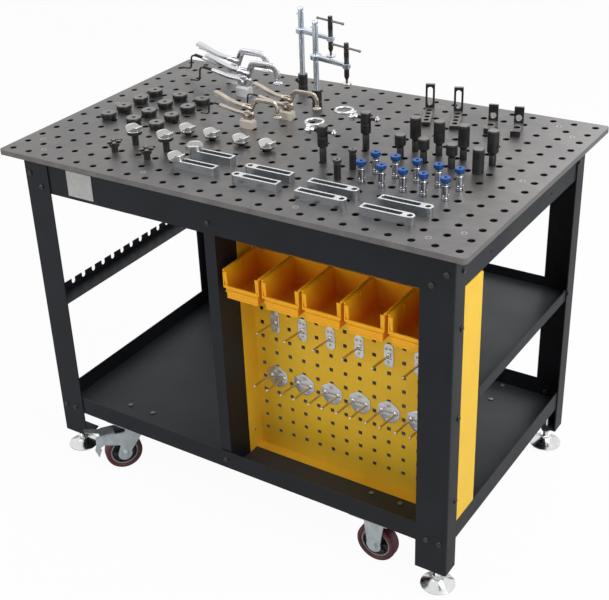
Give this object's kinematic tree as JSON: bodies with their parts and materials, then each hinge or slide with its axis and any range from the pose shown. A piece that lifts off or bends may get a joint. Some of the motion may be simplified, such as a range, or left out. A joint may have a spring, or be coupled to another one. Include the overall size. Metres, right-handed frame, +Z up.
{
  "type": "assembly table",
  "caption": "Drilled steel assembly table on a bolted sheet frame with tray, shelf, tool board with bins and hooks, clamp rack, casters, levelling feet and fixturing tools.",
  "frame": {"origin": "on the floor, under the middle of the table top, level with the bottoms of the four wheels", "axes": "+X along the long side towards the end with the tool board's flange, +Y from the front with the tool board to the back, +Z up"},
  "size_m": [1.2192, 0.7886, 1.114],
  "materials": {
    "plate": "dark satin steel",
    "frame": "black powder coat",
    "board": "yellow powder coat",
    "tag": "plain light panel",
    "bin": "amber moulded plastic",
    "zinc": "zinc plated",
    "foot": "bright plated",
    "wheel": "burgundy tread on a black hub",
    "machined_steel": "machined",
    "black_steel": "black oxide",
    "blue_head": "blue anodised",
    "silver_pliers": "nickel plated",
    "bronze_pliers": "bronze tinted nickel"
  },
  "bodies": {
    "table": {"table_top": "plate", "top_screws": "zinc", "front_apron": "frame", "back_apron": "frame", "left_apron": "frame", "right_apron": "frame", "front_left_leg": "frame", "front_right_leg": "frame", "back_left_leg": "frame", "back_right_leg": "frame", "frame_bolts": "frame", "bottom_tray": "frame", "middle_shelf": "frame", "divider_posts": "frame", "tool_board": "board", "clamp_rack": "frame", "name_plate": "tag", "single_hooks": "zinc", "double_hooks": "zinc", "caster_plates": "zinc", "caster_bolts": "zinc", "right_forks": "zinc", "right_axles": "zinc", "stop_bars": "machined_steel", "risers": "black_steel", "disc_rests": "black_steel", "v_pads": "machined_steel", "v_pad_posts": "black_steel", "lock_bolt_heads": "blue_head", "lock_bolt_shafts": "zinc", "angle_brackets": "black_steel", "side_clamps": "black_steel", "large_pliers": "silver_pliers", "small_pliers": "bronze_pliers", "plier_cranks": "black_steel", "clamp_posts": "machined_steel", "clamp_sleeves": "black_steel"},
    "front_left_foot": {"front_left_foot": "foot"},
    "front_right_foot": {"front_right_foot": "foot"},
    "back_left_foot": {"back_left_foot": "foot"},
    "back_right_foot": {"back_right_foot": "foot"},
    "bin_1": {"bin_1": "bin"},
    "bin_2": {"bin_2": "bin"},
    "bin_3": {"bin_3": "bin"},
    "bin_4": {"bin_4": "bin"},
    "bin_5": {"bin_5": "bin"},
    "front_left_caster": {"front_left_fork": "zinc", "front_left_axle": "zinc"},
    "front_left_pedal": {"front_left_brake": "zinc"},
    "front_left_wheel": {"front_left_wheel": "wheel"},
    "back_left_caster": {"back_left_fork": "zinc", "back_left_axle": "zinc"},
    "back_left_pedal": {"back_left_brake": "zinc"},
    "back_left_wheel": {"back_left_wheel": "wheel"},
    "front_right_wheel": {"front_right_wheel": "wheel"},
    "back_right_wheel": {"back_right_wheel": "wheel"},
    "clamp_1_arm": {"clamp_arm_1": "machined_steel"},
    "clamp_1_spindle": {"clamp_spindle_1": "black_steel"},
    "clamp_2_arm": {"clamp_arm_2": "machined_steel"},
    "clamp_2_spindle": {"clamp_spindle_2": "black_steel"}
  },
  "joints": [
    {"name": "front_left_foot_screw", "type": "slide", "parent": "table", "child": "front_left_foot", "axis": [0, 0, 1], "range_m": [-0.04, 0.012]},
    {"name": "front_right_foot_screw", "type": "slide", "parent": "table", "child": "front_right_foot", "axis": [0, 0, 1], "range_m": [-0.04, 0.012]},
    {"name": "back_left_foot_screw", "type": "slide", "parent": "table", "child": "back_left_foot", "axis": [0, 0, 1], "range_m": [-0.04, 0.012]},
    {"name": "back_right_foot_screw", "type": "slide", "parent": "table", "child": "back_right_foot", "axis": [0, 0, 1], "range_m": [-0.04, 0.012]},
    {"name": "bin_1_lift", "type": "slide", "parent": "table", "child": "bin_1", "axis": [0, 0, 1], "range_m": [0, 0.006]},
    {"name": "bin_2_lift", "type": "slide", "parent": "table", "child": "bin_2", "axis": [0, 0, 1], "range_m": [0, 0.006]},
    {"name": "bin_3_lift", "type": "slide", "parent": "table", "child": "bin_3", "axis": [0, 0, 1], "range_m": [0, 0.006]},
    {"name": "bin_4_lift", "type": "slide", "parent": "table", "child": "bin_4", "axis": [0, 0, 1], "range_m": [0, 0.006]},
    {"name": "bin_5_lift", "type": "slide", "parent": "table", "child": "bin_5", "axis": [0, 0, 1], "range_m": [0, 0.006]},
    {"name": "front_left_swivel", "type": "hinge", "parent": "table", "child": "front_left_caster", "pos_m": [-0.37, -0.288, 0.13], "axis": [0, 0, 1], "continuous": true},
    {"name": "front_left_brake_pedal", "type": "hinge", "parent": "front_left_caster", "child": "front_left_pedal", "pos_m": [-0.41333, -0.3455, 0.1077], "axis": [0.7986, -0.6018, 0], "range_deg": [0, 10]},
    {"name": "front_left_wheel_spin", "type": "hinge", "parent": "front_left_caster", "child": "front_left_wheel", "pos_m": [-0.39167, -0.31675, 0.05], "axis": [0.7986, -0.6018, 0], "continuous": true},
    {"name": "back_left_swivel", "type": "hinge", "parent": "table", "child": "back_left_caster", "pos_m": [-0.37, 0.288, 0.13], "axis": [0, 0, 1], "continuous": true},
    {"name": "back_left_brake_pedal", "type": "hinge", "parent": "back_left_caster", "child": "back_left_pedal", "pos_m": [-0.42097, 0.33885, 0.1077], "axis": [-0.7063, -0.708, 0], "range_deg": [0, 10]},
    {"name": "back_left_wheel_spin", "type": "hinge", "parent": "back_left_caster", "child": "back_left_wheel", "pos_m": [-0.39549, 0.31343, 0.05], "axis": [-0.7063, -0.708, 0], "continuous": true},
    {"name": "front_right_wheel_spin", "type": "hinge", "parent": "table", "child": "front_right_wheel", "pos_m": [0.37, -0.288, 0.05], "axis": [0, 1, 0], "continuous": true},
    {"name": "back_right_wheel_spin", "type": "hinge", "parent": "table", "child": "back_right_wheel", "pos_m": [0.37, 0.288, 0.05], "axis": [0, 1, 0], "continuous": true},
    {"name": "clamp_1_height", "type": "slide", "parent": "table", "child": "clamp_1_arm", "axis": [0, 0, 1], "range_m": [-0.095, 0.05]},
    {"name": "clamp_1_screw", "type": "slide", "parent": "clamp_1_arm", "child": "clamp_1_spindle", "axis": [0, 0, 1], "range_m": [-0.011, 0.034]},
    {"name": "clamp_2_height", "type": "slide", "parent": "table", "child": "clamp_2_arm", "axis": [0, 0, 1], "range_m": [-0.065, 0.08]},
    {"name": "clamp_2_screw", "type": "slide", "parent": "clamp_2_arm", "child": "clamp_2_spindle", "axis": [0, 0, 1], "range_m": [-0.011, 0.034]}
  ]
}
